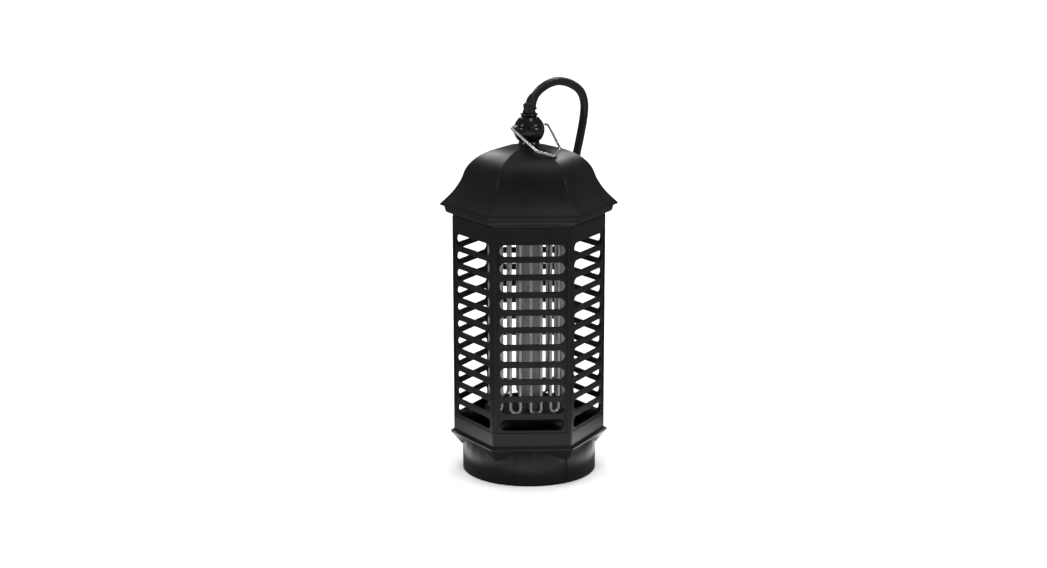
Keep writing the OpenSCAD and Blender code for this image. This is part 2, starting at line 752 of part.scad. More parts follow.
roof_shell();
finial_lower();
finial_cap();
finial_nut();
cord_gland();
cage_frame();
grille_front();
grille_front_right();
grille_back_right();
grille_back();
grille_back_left();
grille_front_left();
base_ring();
upper_deck();
lower_deck();
grid_live();
grid_return();
live_bus();
return_bus();
lamp_tube();
lamp_caps();
lamp_pins();
upper_lamp_holder();
lower_lamp_holder();
circuit_board();
board_posts();
board_screws();
roof_screws();
ballast_coil();
ballast_core();
film_capacitors();
electrolytic_capacitor();
diodes();
resistors();
terminal_block();
lead_wires();
lamp_wires();
collection_cup();
hanging_bail();
power_cord();
cord_coil();
coil_tie();
plug_lead();
plug_body();
plug_blades();
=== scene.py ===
"""The looks of a hexagonal lantern insect killer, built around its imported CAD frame.

Metres, +Z up, -Y towards the front. Every piece below is made where the CAD part has it."""
import json
import math

import bmesh
import bpy
from mathutils import Matrix, Vector


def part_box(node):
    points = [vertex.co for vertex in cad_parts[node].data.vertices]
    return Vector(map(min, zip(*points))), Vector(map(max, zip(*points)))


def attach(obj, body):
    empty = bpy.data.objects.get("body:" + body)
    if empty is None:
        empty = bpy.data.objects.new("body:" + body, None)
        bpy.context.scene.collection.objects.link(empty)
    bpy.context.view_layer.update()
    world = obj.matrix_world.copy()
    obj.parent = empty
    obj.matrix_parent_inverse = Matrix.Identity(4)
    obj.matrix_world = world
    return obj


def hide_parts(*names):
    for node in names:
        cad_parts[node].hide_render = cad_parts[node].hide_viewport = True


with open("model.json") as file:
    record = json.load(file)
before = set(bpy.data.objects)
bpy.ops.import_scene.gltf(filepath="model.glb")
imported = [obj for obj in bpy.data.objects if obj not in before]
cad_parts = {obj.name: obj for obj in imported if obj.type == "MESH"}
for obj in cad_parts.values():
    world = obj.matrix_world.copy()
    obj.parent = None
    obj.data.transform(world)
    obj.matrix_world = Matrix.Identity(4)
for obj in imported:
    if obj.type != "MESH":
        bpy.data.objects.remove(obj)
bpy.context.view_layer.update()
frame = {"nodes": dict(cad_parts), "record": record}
scene = bpy.context.scene
MM = 0.001


# ---------- camera ----------

CAMERA_TARGET = Vector((0, 0, 0.125))
CAMERA_DISTANCE = 1.335
CAMERA_YAW = math.radians(2.7)
CAMERA_ELEVATION = math.radians(13.3)
CAMERA_LENS = 65.1
CAMERA_SENSOR = 36.0
CAMERA_SHIFT = (-0.0053, 0.0114)


def make_camera():
    data = bpy.data.cameras.new("camera")
    data.lens = CAMERA_LENS
    data.sensor_width = CAMERA_SENSOR
    data.shift_x, data.shift_y = CAMERA_SHIFT
    data.clip_end = 50
    camera = bpy.data.objects.new("camera", data)
    scene.collection.objects.link(camera)
    flat = math.cos(CAMERA_ELEVATION)
    rise = math.sin(CAMERA_ELEVATION)
    back = Vector((-math.sin(CAMERA_YAW) * flat, -math.cos(CAMERA_YAW) * flat, rise))
    camera.location = CAMERA_TARGET + back * CAMERA_DISTANCE
    camera.rotation_euler = (-back).to_track_quat("-Z", "Y").to_euler()
    scene.camera = camera


make_camera()


# ---------- mesh helpers ----------

def mesh_piece(name, points, faces, body, smooth_deg=35):
    """A mesh object in the row frame that rides on a CAD body."""
    mesh = bpy.data.meshes.new(name)
    mesh.from_pydata([tuple(p) for p in points], [], faces)
    mesh.update()
    piece = bpy.data.objects.new(name, mesh)
    scene.collection.objects.link(piece)
    face_outwards(mesh)
    shade_by_angle(mesh, smooth_deg)
    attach(piece, body)
    return piece


def face_outwards(mesh):
    work = bmesh.new()
    work.from_mesh(mesh)
    bmesh.ops.recalc_face_normals(work, faces=work.faces)
    work.to_mesh(mesh)
    work.free()


def shade_by_angle(mesh, degrees):
    """Smooth shading that breaks at edges sharper than this."""
    work = bmesh.new()
    work.from_mesh(mesh)
    for face in work.faces:
        face.smooth = True
    for edge in work.edges:
        edge.smooth = edge.calc_face_angle(0) < math.radians(degrees)
    work.to_mesh(mesh)
    work.free()


def ring_faces(rings, sides, closed=False):
    """Quads between consecutive rings of points."""
    count = rings if closed else rings - 1
    return [
        (i * sides + j, i * sides + (j + 1) % sides,
         (i + 1) % rings * sides + (j + 1) % sides, (i + 1) % rings * sides + j)
        for i in range(count) for j in range(sides)
    ]


def tube_faces(rings, sides):
    """Quads between consecutive rings, and a face over each end."""
    faces = ring_faces(rings, sides)
    faces.append(tuple(range(sides)))
    faces.append(tuple(range((rings - 1) * sides, rings * sides)))
    return faces


def carried_frames(path):
    """A tangent and two side directions at each point, carried along without twist."""
    frames = []
    side = None
    for i, point in enumerate(path):
        ahead = path[min(i + 1, len(path) - 1)] - path[max(i - 1, 0)]
        tangent = ahead.normalized()
        if side is None:
            side = tangent.orthogonal()
        side = (side - side.dot(tangent) * tangent).normalized()
        frames.append((tangent, side, tangent.cross(side)))
    return frames


def swept(path, radii, sides=24):
    """Points and faces of a round tube along a path, with its ends closed."""
    points = []
    for point, (_, u, v), radius in zip(path, carried_frames(path), radii):
        for j in range(sides):
            turn = 2 * math.pi * j / sides
            points.append(point + radius * (math.cos(turn) * u + math.sin(turn) * v))
    return points, tube_faces(len(path), sides)


def lathe(profile, steps=128):
    """Points and faces of a closed outline of (radius, height) turned about the Z axis."""
    points = [
        Vector((r * math.cos(2 * math.pi * j / steps), r * math.sin(2 * math.pi * j / steps), z))
        for r, z in profile for j in range(steps)
    ]
    return points, ring_faces(len(profile), steps, closed=True)


def between(a, b, c, d, t):
    """A point between b and c on a smooth curve through a, b, c and d."""
    return 0.5 * (2 * b + (c - a) * t + (2 * a - 5 * b + 4 * c - d) * t ** 2
                  + (3 * b - a - 3 * c + d) * t ** 3)


def smooth_path(points, parts):
    last = len(points) - 1
    path = [
        between(points[max(i - 1, 0)], points[i], points[i + 1], points[min(i + 2, last)], k / parts)
        for i in range(last) for k in range(parts)
    ]
    return path + [points[last]]


def soft_step(t):
    t = max(0.0, min(1.0, t))
    return t * t * (3 - 2 * t)


def arc(centre, radius, start_deg, end_deg, steps):
    """Points (radius, height) along an arc of an outline."""
    return [
        (centre[0] + radius * math.cos(math.radians(start_deg + (end_deg - start_deg) * k / steps)),
         centre[1] + radius * math.sin(math.radians(start_deg + (end_deg - start_deg) * k / steps)))
        for k in range(steps + 1)
    ]


# ---------- the mains lead ----------

CORD_D = 0.006
CORD_SIDES = 20
# The lead's run in millimetres, as the CAD part has it
CORD_ROUTE = [
    (3.5, 5, 265), (8, 11.5, 269.2), (14.7, 21, 272.2), (23, 33, 272.6), (32, 46, 269),
    (39.6, 57, 262.4), (43, 65, 253), (43, 70, 242), (41, 73, 228), (38, 74.6, 212),
    (35.6, 75.6, 196), (34.4, 76, 180), (34, 76, 160), (34, 76, 130), (34, 76, 100),
    (34, 76, 70), (34, 76, 48), (34.2, 76.4, 36), (35.4, 79.4, 23), (38.4, 87.4, 11.4),
    (42, 98, 4.4), (45, 110, 3), (43.2, 121, 3), (37.2, 131, 3), (28, 138.4, 3),
    (16.6, 142.8, 3), (4.6, 143.8, 3), (-6.6, 141.6, 3),
]
PLUG_ROUTE = [
    (-36, 106, 9), (-36.2, 100, 10.2), (-35.4, 93.5, 12.4), (-32.9, 87.5, 14.8),
    (-28.9, 82.3, 17), (-23.7, 78.4, 18.2), (-17.3, 75.7, 18.4), (-13.4, 74.8, 18.4),
]
COIL_CENTRE = Vector((0, 0.104, 0))
COIL_OUTER_R = 6 * CORD_D
# Angles round the coil, in degrees counted on from its first turn
COIL_FROM = 112
COIL_TO = 1973
COIL_STEP = 12
COIL_STEPS_IN = (375, 735)
COIL_CLIMB = 1035
COIL_STEPS_OUT = (1335, 1695)
CROSSING_DEG = 150
CLIMB_DEG = 130
# How the lead eases into its first turn from outside it
SETTLE_OUT = 0.0022
SETTLE_FROM = 100
SETTLE_DEG = 50


def eased(angle, middle, width):
    """From 0 to 1 over this width about a middle angle."""
    return soft_step((angle - middle) / width + 0.5)


def coil_point(angle):
    """The stored turns: stepping inwards on the floor, then back outwards on top of them."""
    inward = sum(eased(angle, middle, CROSSING_DEG) for middle in COIL_STEPS_IN)
    outward = sum(eased(angle, middle, CROSSING_DEG) for middle in COIL_STEPS_OUT)
    settle = max(0, 1 - (angle - SETTLE_FROM) / SETTLE_DEG)
    radius = COIL_OUTER_R + CORD_D * (outward - inward) + SETTLE_OUT * settle ** 2
    height = CORD_D * (0.5 + eased(angle, COIL_CLIMB, CLIMB_DEG))
    turn = math.radians(angle)
    return COIL_CENTRE + Vector((radius * math.cos(turn), radius * math.sin(turn), height))


def cord_path():
    route = [Vector(p) * MM for p in CORD_ROUTE]
    tail = [Vector(p) * MM for p in PLUG_ROUTE]
    turns = [coil_point(angle) for angle in range(COIL_FROM, COIL_TO, COIL_STEP)]
    return smooth_path(route + turns + tail, 4)


def make_cord(path):
    points, faces = swept(path, [CORD_D / 2] * len(path), CORD_SIDES)
    lead = mesh_piece("mains_lead", points, faces, "housing", 60)
    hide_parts("power_cord", "cord_coil", "plug_lead")
    return lead


lead_path = cord_path()
mains_lead = make_cord(lead_path)


# ---------- materials ----------

def new_material(name):
    """An empty node material: its tree, its shader and its object coordinates."""
    material = bpy.data.materials.new(name)
    material.use_nodes = True
    tree = material.node_tree
    tree.nodes.clear()
    output = tree.nodes.new("ShaderNodeOutputMaterial")
    shader = tree.nodes.new("ShaderNodeBsdfPrincipled")
    tree.links.new(shader.outputs["BSDF"], output.inputs["Surface"])
    place = tree.nodes.new("ShaderNodeTexCoord").outputs["Object"]
    return material, tree, shader, place


def noise(tree, place, scale, detail=3.0, stretch=(1, 1, 1)):
    """A noise pattern, scale features per metre, drawn out along the axes by stretch."""
    mapping = tree.nodes.new("ShaderNodeMapping")
    mapping.inputs["Scale"].default_value = stretch
    texture = tree.nodes.new("ShaderNodeTexNoise")
    texture.inputs["Scale"].default_value = scale
    texture.inputs["Detail"].default_value = detail
    tree.links.new(place, mapping.inputs["Vector"])
    tree.links.new(mapping.outputs["Vector"], texture.inputs["Vector"])
    return texture.outputs["Fac"]


def ramp(tree, factor, stops):
    """A colour ramp: stops are (position, colour)."""
    node = tree.nodes.new("ShaderNodeValToRGB")
    elements = node.color_ramp.elements
    while len(elements) < len(stops):
        elements.new(0.5)
    for element, (position, colour) in zip(elements, stops):
        element.position = position
        element.color = (*colour, 1)
    tree.links.new(factor, node.inputs["Fac"])
    return node.outputs["Color"]


def spread_value(tree, factor, low, high, from_low=0.3, from_high=0.7):
    node = tree.nodes.new("ShaderNodeMapRange")
    node.inputs["From Min"].default_value = from_low
    node.inputs["From Max"].default_value = from_high
    node.inputs["To Min"].default_value = low
    node.inputs["To Max"].default_value = high
    tree.links.new(factor, node.inputs["Value"])
    return node.outputs["Result"]


def bump(tree, shader, height, strength, depth):
    node = tree.nodes.new("ShaderNodeBump")
    node.inputs["Strength"].default_value = strength
    node.inputs["Distance"].default_value = depth
    tree.links.new(height, node.inputs["Height"])
    tree.links.new(node.outputs["Normal"], shader.inputs["Normal"])


def surface(name, dark, light, rough, patch=60, grain=1400, grain_depth=0.00002, grain_strength=0.3,
            metallic=0.0, specular=0.5, coat=0.0, coat_rough=0.1, stretch=(1, 1, 1)):
    """A finish whose colour and gloss vary in soft patches, over a fine grain."""
    material, tree, shader, place = new_material(name)
    patches = noise(tree, place, patch, stretch=stretch)
    tree.links.new(ramp(tree, patches, [(0.3, dark), (0.7, light)]), shader.inputs["Base Color"])
    tree.links.new(spread_value(tree, patches, *rough), shader.inputs["Roughness"])
    fine = noise(tree, place, grain, detail=2.0, stretch=stretch)
    bump(tree, shader, fine, grain_strength, grain_depth)
    shader.inputs["Metallic"].default_value = metallic
    shader.inputs["Specular IOR Level"].default_value = specular
    if coat:
        shader.inputs["Coat Weight"].default_value = coat
        shader.inputs["Coat Roughness"].default_value = coat_rough
    return material


# The wave texture's period in metres at a scale of 1
WAVE_PERIOD = 0.314


def banded(name, dark, light, rough, period, direction, metallic=0.0):
    """A finish with fine parallel ridges, such as a winding or a stack of sheets."""
    material, tree, shader, place = new_material(name)
    wave = tree.nodes.new("ShaderNodeTexWave")
    wave.bands_direction = direction
    wave.inputs["Scale"].default_value = WAVE_PERIOD / period
    wave.inputs["Distortion"].default_value = 0.4
    tree.links.new(place, wave.inputs["Vector"])
    colour = ramp(tree, wave.outputs["Fac"], [(0.1, dark), (0.8, light)])
    tree.links.new(colour, shader.inputs["Base Color"])
    tree.links.new(spread_value(tree, wave.outputs["Fac"], *rough), shader.inputs["Roughness"])
    bump(tree, shader, wave.outputs["Fac"], 0.6, period / 4)
    shader.inputs["Metallic"].default_value = metallic
    return material


# The darker grey at the lamp tube's two ends is painted shade.
LAMP_END_SHADE = (0.06, 0.06, 0.06)
LAMP_MIDDLE = (0.21, 0.21, 0.21)


def lamp_coating():
    """Milky coated glass with painted shade that darkens it a little towards its two ends."""
    material, tree, shader, place = new_material("coated_glass")
    low, high = (corner.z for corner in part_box("lamp_tube"))
    split = tree.nodes.new("ShaderNodeSeparateXYZ")
    tree.links.new(place, split.inputs["Vector"])
    along = spread_value(tree, split.outputs["Z"], 0, 1, low, high)
    # Painted shade: the colour falls to a dark grey over the last few hundredths of the tube's height at
    # each end.
    colour = ramp(tree, along, [(0.0, LAMP_END_SHADE), (0.06, LAMP_MIDDLE), (0.94, LAMP_MIDDLE), (1.0, LAMP_END_SHADE)])
    tree.links.new(colour, shader.inputs["Base Color"])
    cloud = noise(tree, place, 90)
    tree.links.new(spread_value(tree, cloud, 0.22, 0.3), shader.inputs["Roughness"])
    shader.inputs["Coat Weight"].default_value = 0.6
    shader.inputs["Coat Roughness"].default_value = 0.05
    return material


finishes = {
    "black_plastic": surface("moulded_black", (0.004, 0.004, 0.0045), (0.0065, 0.0065, 0.0075),
                             (0.34, 0.44), specular=0.36),
    "gloss_black": surface("glossy_black", (0.003, 0.003, 0.0035), (0.006, 0.006, 0.0065),
                           (0.15, 0.23), grain_strength=0.06, specular=0.9),
    "dark_plastic": surface("matt_dark", (0.008, 0.008, 0.009), (0.014, 0.014, 0.015),
                            (0.5, 0.62), specular=0.3),
    "cable_sleeve": surface("cable_sleeve", (0.006, 0.006, 0.0065), (0.011, 0.011, 0.012),
                            (0.36, 0.48), specular=0.4),
    "tie": surface("tie_strap", (0.014, 0.014, 0.014), (0.026, 0.026, 0.026), (0.55, 0.7), grain=3000),
    "wire_steel": surface("drawn_wire", (0.5, 0.5, 0.49), (0.74, 0.74, 0.73), (0.3, 0.42),
                          metallic=0.55, patch=900, stretch=(1, 1, 0.05)),
    "bail_steel": surface("bail_wire", (0.72, 0.71, 0.69), (0.86, 0.85, 0.83), (0.2, 0.3),
                          metallic=0.9, patch=200, grain_strength=0.04),
    "brass": surface("bright_brass", (0.62, 0.45, 0.2), (0.78, 0.6, 0.3), (0.2, 0.34),
                     metallic=1.0, patch=300),
    "lamp_glass": lamp_coating(),
    "lamp_cap": surface("lamp_cap_metal", (0.55, 0.55, 0.56), (0.7, 0.7, 0.71), (0.28, 0.4),
                        metallic=1.0, patch=400, stretch=(1, 1, 0.2)),
    "white_plastic": surface("white_plastic", (0.66, 0.65, 0.61), (0.76, 0.75, 0.72), (0.4, 0.52)),
    "board_green": surface("green_board", (0.02, 0.09, 0.04), (0.04, 0.15, 0.07), (0.25, 0.4),
                           patch=300, coat=0.5),
    "copper_wire": banded("copper_winding", (0.2, 0.07, 0.02), (0.6, 0.27, 0.1), (0.25, 0.45),
                          0.0005, "Y"),
    "core_iron": banded("core_sheets", (0.06, 0.06, 0.065), (0.2, 0.2, 0.21), (0.4, 0.6),
                        0.0005, "Y", metallic=0.8),
    "red_film": surface("red_film", (0.3, 0.05, 0.03), (0.42, 0.09, 0.05), (0.2, 0.32), coat=0.3),
    "blue_can": surface("blue_can", (0.02, 0.05, 0.13), (0.04, 0.08, 0.2), (0.25, 0.38), coat=0.3),
    "black_epoxy": surface("black_epoxy", (0.01, 0.01, 0.01), (0.02, 0.02, 0.02), (0.3, 0.45)),
    "tan_body": surface("tan_lacquer", (0.42, 0.3, 0.14), (0.6, 0.45, 0.24), (0.25, 0.4), patch=700),
    "green_block": surface("green_block", (0.03, 0.16, 0.06), (0.06, 0.26, 0.1), (0.35, 0.48)),
    "blue_wire": surface("blue_wire", (0.02, 0.04, 0.22), (0.04, 0.07, 0.34), (0.35, 0.5)),
}


def paint(piece, material_slot):
    piece.data.materials.clear()
    piece.data.materials.append(finishes[material_slot])


# ---------- the strain relief ----------

GLAND_ROUTE = [(0, 0, 240), (0, 0, 252), (0.1, 0.1, 255), (0.3, 0.5, 257.2), (0.5, 0.7, 258.2),
               (0.8, 1.1, 259.2), (1.1, 1.5, 260), (1.9, 2.7, 262.4), (2.7, 3.8, 264), (3.5, 5, 265)]
GLAND_RADII = (3.3, 3.3, 4.6, 4.1, 4.8, 4.8, 4, 3.7, 3.5, 3.4)


def make_gland():
    path = smooth_path([Vector(p) * MM for p in GLAND_ROUTE], 4)
    radii = [v.x for v in smooth_path([Vector((r, 0, 0)) * MM for r in GLAND_RADII], 4)]
    points, faces = swept(path, radii, 32)
    return mesh_piece("strain_relief", points, faces, "housing", 50)


strain_relief = make_gland()
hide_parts("cord_gland")


# ---------- the roof ----------

EAVE_R, EAVE_Z = 62.4, 191.8
DOME_R, DOME_Z, DOME_H, DOME_POWER = 47.4, 204.4, 28, 2.3
FLARE_TOP_Z, FLARE_PULL = 211.5, (50.8, 201.4)
FASCIA_R, CORNICE_R = 59.3, 55.6
ROOF_WALL = 2.3
ROOF_HOLE_R = 6.4
ROOF_RIM_R = 45
CAGE_TOP = 183
INNER_LIFT, INNER_FOOT_DROP = 0.3, 1
LIP_R = 0.5
FASCIA_DROP = 2.1
CORNICE_ROUND_R, CORNICE_ROUND_IN, CORNICE_ROUND_DROP = 3, 3.4, 3.6
CORNICE_COVE_R = 2
RIM_RISE = 4
DOME_STEPS = 40
FLARE_STEPS = 18
# The six ridges are rounded, more on the dome than at the eave
EAVE_RIDGE_R, DOME_RIDGE_R = 1.2, 2.6
RIDGE_EASE_FROM, RIDGE_EASE = 60, 6
RIDGE_LIMIT = 0.25
RIDGE_STEPS = 8


def dome_outline(radius, height, first_r, last_z):
    """Points of the dome from its hole down to a level."""
    first = math.asin(min(1, (first_r / radius) ** (DOME_POWER / 2)))
    last = math.acos((last_z - DOME_Z) / height)
    outline = []
    for k in range(DOME_STEPS + 1):
        a = first + (last - first) * k / DOME_STEPS
        r = radius * (1 - math.cos(a) ** DOME_POWER) ** (1 / DOME_POWER)
        outline.append((r, DOME_Z + height * math.cos(a)))
    return outline


def flare_outline(start):
    """The sweep outwards from the dome's foot to the eave."""
    outline = []
    for k in range(1, FLARE_STEPS + 1):
        t = k / FLARE_STEPS
        weights = ((1 - t) ** 2, 2 * t * (1 - t), t * t)
        ends = (start, FLARE_PULL, (EAVE_R, EAVE_Z))
        outline.append(tuple(sum(w * p[i] for w, p in zip(weights, ends)) for i in (0, 1)))
    return outline


def roof_outline():
    outer = dome_outline(DOME_R, DOME_H, ROOF_HOLE_R, FLARE_TOP_Z)
    inner = dome_outline(DOME_R - ROOF_WALL, DOME_H - ROOF_WALL + INNER_LIFT, ROOF_HOLE_R,
                         FLARE_TOP_Z - INNER_FOOT_DROP)
    lip = arc((EAVE_R - LIP_R, EAVE_Z - LIP_R), LIP_R, 50, -70, 4)
    fascia = arc((FASCIA_R + LIP_R, EAVE_Z - FASCIA_DROP), LIP_R, 90, 180, 3)
    cornice = (arc((FASCIA_R - CORNICE_ROUND_IN, EAVE_Z - CORNICE_ROUND_DROP), CORNICE_ROUND_R, 0, -90, 10)
               + arc((CORNICE_R, CAGE_TOP), CORNICE_COVE_R, 90, 180, 8))
    rim = [(ROOF_RIM_R, CAGE_TOP), (ROOF_RIM_R, EAVE_Z + RIM_RISE)]
    return outer + flare_outline(outer[-1])[:-1] + lip + fascia + cornice + rim + inner[::-1]


def hexagon_ring(radius, corner, height, arcs):
    """Points of a level hexagon whose corners are rounded by an arc."""
    back = radius - corner / math.cos(math.radians(30))
    points = []
    for k in range(6):
        middle = math.radians(60 * k)
        for j in range(arcs + 1):
            turn = middle + math.radians(-30 + 60 * j / arcs)
            points.append(Vector((back * math.cos(middle) + corner * math.cos(turn),
                                  back * math.sin(middle) + corner * math.sin(turn), height)) * MM)
    return points


def make_roof():
    outline = roof_outline()
    points = []
    for r, z in outline:
        ridge = EAVE_RIDGE_R + (DOME_RIDGE_R - EAVE_RIDGE_R) * soft_step((RIDGE_EASE_FROM - r) / RIDGE_EASE)
        points += hexagon_ring(r, min(ridge, RIDGE_LIMIT * r), z, RIDGE_STEPS)
    faces = ring_faces(len(outline), 6 * (RIDGE_STEPS + 1), closed=True)
    return mesh_piece("roof_skin", points, faces, "housing", 28)


roof_skin = make_roof()
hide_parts("roof_shell")


# ---------- the ball ----------

BALL_R, BALL_Z, SEAM_Z = 10.8, 243.3, 246
NECK_R, NECK_BOTTOM = 7.3, 231.8
NECK_CHAMFER, NECK_EDGE = 0.7, 1.6
NECK_COVE_R, NECK_COVE_OUT, NECK_COVE_RISE, BALL_START = 1.4, 1.2, 3.2, 4.6
STEM_R, STEM_BOTTOM, CORD_BORE_R = 5.4, 221, 3.4
SEAM_DROP, SEAM_ROUND_AT, SEAM_ROUND_R, SEAM_LAND_DROP = 0.5, 10.1, 0.4, 0.1
CAP_INSET, CAP_FOOT_AT, CAP_FOOT_R, CAP_FOOT_RISE, CAP_GAP = 0.25, 9.9, 0.35, 0.4, 0.02
COLLAR_R, COLLAR_Z = 6.1, 252.6
COLLAR_ROUND_R, COLLAR_RISE = 0.5, 1.3
CAP_TOP_DROP = 0.6
# Points of the collar as steps in from its radius and up from its foot
COLLAR_FOOT = (0.9, -0.4)
COLLAR_CUP = [(1.2, 1.8), (1.4, 0.6)]
COLLAR_FLOOR_RISE = 0.4


def revolved(name, outline, steps=96):
    points, faces = lathe([(r * MM, z * MM) for r, z in outline], steps)
    return mesh_piece(name, points, faces, "housing", 40)


def ball_arc(radius, low_z, high_z, steps=20):
    low = math.degrees(math.asin((low_z - BALL_Z) / radius))
    high = math.degrees(math.asin((high_z - BALL_Z) / radius))
    return arc((0, BALL_Z), radius, low, high, steps)


def lower_outline():
    """Up the stem and the neck, round the ball and over its rounded seam edge."""
    stem = [(CORD_BORE_R, STEM_BOTTOM), (STEM_R, STEM_BOTTOM), (STEM_R, NECK_BOTTOM)]
    neck = [(NECK_R, NECK_BOTTOM + NECK_CHAMFER), (NECK_R, NECK_BOTTOM + NECK_EDGE)]
    cove = arc((NECK_R + NECK_COVE_OUT, NECK_BOTTOM + NECK_COVE_RISE), NECK_COVE_R, 215, 145, 6)
    half = ball_arc(BALL_R, NECK_BOTTOM + BALL_START, SEAM_Z - SEAM_DROP)
    seam = arc((SEAM_ROUND_AT, SEAM_Z - SEAM_DROP), SEAM_ROUND_R, 10, 90, 4)
    return stem + neck + cove + half + seam + [(CORD_BORE_R, SEAM_Z - SEAM_LAND_DROP)]


def cap_outline():
    """From the seam over the upper half to the collar and into its cup."""
    foot = arc((CAP_FOOT_AT, SEAM_Z + CAP_FOOT_RISE), CAP_FOOT_R, -90, -10, 4)
    half = ball_arc(BALL_R - CAP_INSET, SEAM_Z + SEAM_DROP, COLLAR_Z - CAP_TOP_DROP)
    root = [(COLLAR_R - COLLAR_FOOT[0], COLLAR_Z + COLLAR_FOOT[1])]
    collar = arc((COLLAR_R - COLLAR_ROUND_R, COLLAR_Z + COLLAR_RISE), COLLAR_ROUND_R, -60, 90, 6)
    cup = [(COLLAR_R - inward, COLLAR_Z + up) for inward, up in COLLAR_CUP]
    cup.append((CORD_BORE_R, COLLAR_Z + COLLAR_FLOOR_RISE))
    return [(CORD_BORE_R, SEAM_Z + CAP_GAP)] + foot + half + root + collar + cup


def make_ball():
    lower = revolved("ball_lower", lower_outline())
    upper = revolved("ball_cap", cap_outline())
    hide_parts("finial_lower")
    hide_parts("finial_cap")
    return lower, upper


ball_lower, ball_cap = make_ball()


# ---------- the bail ----------

BAIL_PIVOT = Vector((0, 0, 0.246))
BAIL_TURN = math.radians(30)
BAIL_REST = math.radians(29.5)
BAIL_WIRE_R = 0.00095
BAIL_BEND = 0.0024
# The bail's corners in its own plane, from one stub to the other, in millimetres
BAIL_CORNERS = [(5.2, 0), (15.5, 0), (9.8, 28.5), (0, 35.5), (-9.8, 28.5), (-15.5, 0), (-5.2, 0)]


def rounded_corners(corners, bend, steps=8):
    """The corners' path in its plane, each corner but the ends rounded by an arc."""
    path = [corners[0]]
    for before, here, after in zip(corners, corners[1:], corners[2:]):
        a = (before - here).normalized()
        b = (after - here).normalized()
        half = a.angle(b) / 2
        middle = (a + b).normalized()
        centre = here + middle * bend / math.sin(half)
        start = here + a * bend / math.tan(half) - centre
        end = here + b * bend / math.tan(half) - centre
        for k in range(steps + 1):
            path.append(centre + bend * start.slerp(end, k / steps, start).normalized())
    path.append(corners[-1])
    return path


def make_bail():
    flat = [Vector((x, y, 0)) * MM for x, y in BAIL_CORNERS]
    place = (Matrix.Translation(BAIL_PIVOT) @ Matrix.Rotation(BAIL_TURN, 4, "Z")
             @ Matrix.Rotation(math.pi + BAIL_REST, 4, "X"))
    path = [place @ p for p in rounded_corners(flat, BAIL_BEND)]
    points, faces = swept(path, [BAIL_WIRE_R] * len(path), 20)
    return mesh_piece("bail_wire", points, faces, "bail", 50)


bail_wire = make_bail()
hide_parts("hanging_bail")


# ---------- the plug and the tie ----------

PLUG_AT = Vector((-0.0134, 0.0748, 0.0184))
PLUG_TURN = math.radians(-14)
PLUG_PLACE = Matrix.Translation(PLUG_AT) @ Matrix.Rotation(PLUG_TURN, 4, "Z")
# Along the plug in millimetres: distance, half width, half thickness, squareness
PLUG_STATIONS = [
    (0, 3.6, 3.6, 2), (0.8, 4.2, 4.2, 2), (3.2, 4.2, 4.2, 2), (3.8, 3.7, 3.7, 2),
    (4.6, 3.7, 3.7, 2), (5.2, 4.4, 4.4, 2), (6.6, 4.6, 4.6, 2), (7.6, 6.5, 5.4, 2.4),
    (9, 8.3, 6.1, 3), (12, 9, 6.4, 3.4), (14, 9.8, 6.4, 3.6), (16, 11, 6.4, 3.8),
    (18, 11.5, 6.4, 4), (27.6, 11.5, 6.4, 4.4), (28.6, 11.1, 6, 4.4), (29, 10.2, 5.2, 4.4),
]
BLADE_GAP = 12.7
BLADE_FROM, BLADE_LENGTH, BLADE_HALF_W, BLADE_HALF_T = 28.6, 16.4, 3.2, 0.75
BLADE_SQUARENESS = 5
# Along a blade: share of its length, of its width and of its thickness
BLADE_STATIONS = [(0, 1, 1), (0.9, 1, 1), (0.96, 0.9, 0.8), (1, 0.68, 0.4)]
TIE_ANGLE = math.radians(140)
TIE_AT_R = 30
TIE_HALF_W, TIE_TOP, TIE_T = 9.4, 12, 1.2
TIE_FOOT, TIE_SHOULDER = 0.4, 1.2
TIE_BEND_R, TIE_BEND_IN = 1.6, 1
TIE_HALF_BREADTH, TIE_SQUARENESS = 3, 3.4
STRAP_SIDES = 24


def rounded_outline(half_w, half_h, squareness, steps=40):
    """A superellipse's points, from a round one at 2 to a squarer one above it."""
    points = []
    for k in range(steps):
        turn = 2 * math.pi * k / steps
        c, q = math.cos(turn), math.sin(turn)
        points.append((half_w * math.copysign(abs(c) ** (2 / squareness), c),
                       half_h * math.copysign(abs(q) ** (2 / squareness), q)))
    return points


def lofted(name, sections, place, body, smooth_deg=40):
    """A closed skin over sections given as (distance along X, outline in Y and Z)."""
    sides = len(sections[0][1])
    points = [place @ (Vector((x, y, z)) * MM) for x, outline in sections for y, z in outline]
    return mesh_piece(name, points, tube_faces(len(sections), sides), body, smooth_deg)


def make_plug():
    sections = [(x, rounded_outline(w, t, power)) for x, w, t, power in PLUG_STATIONS]
    return lofted("plug_shell", sections, PLUG_PLACE, "housing", 32)


def make_blades():
    """Two flat blades with rounded tips, in one piece."""
    points, faces = [], []
    for side in (-1, 1):
        first = len(points)
        for along, wide, thick in BLADE_STATIONS:
            outline = rounded_outline(BLADE_HALF_T * thick, BLADE_HALF_W * wide, BLADE_SQUARENESS,
                                      STRAP_SIDES)
            x = BLADE_FROM + BLADE_LENGTH * along
            points += [PLUG_PLACE @ (Vector((x, side * BLADE_GAP / 2 + y, z)) * MM) for y, z in outline]
        blade = tube_faces(len(BLADE_STATIONS), STRAP_SIDES)
        faces += [tuple(first + i for i in face) for face in blade]
    return mesh_piece("plug_pins", points, faces, "housing", 32)


def tie_line():
    """The strap's middle line over the coil, as distance across it and height."""
    side = TIE_HALF_W + TIE_T / 2
    shoulder = TIE_TOP - TIE_SHOULDER
    bend_x = TIE_HALF_W - TIE_BEND_IN
    bend_z = TIE_TOP - TIE_BEND_IN
    return ([(-side, TIE_FOOT), (-side, shoulder)]
            + arc((-bend_x, bend_z), TIE_BEND_R, 180, 90, 6) + arc((bend_x, bend_z), TIE_BEND_R, 90, 0, 6)
            + [(side, shoulder), (side, TIE_FOOT)])


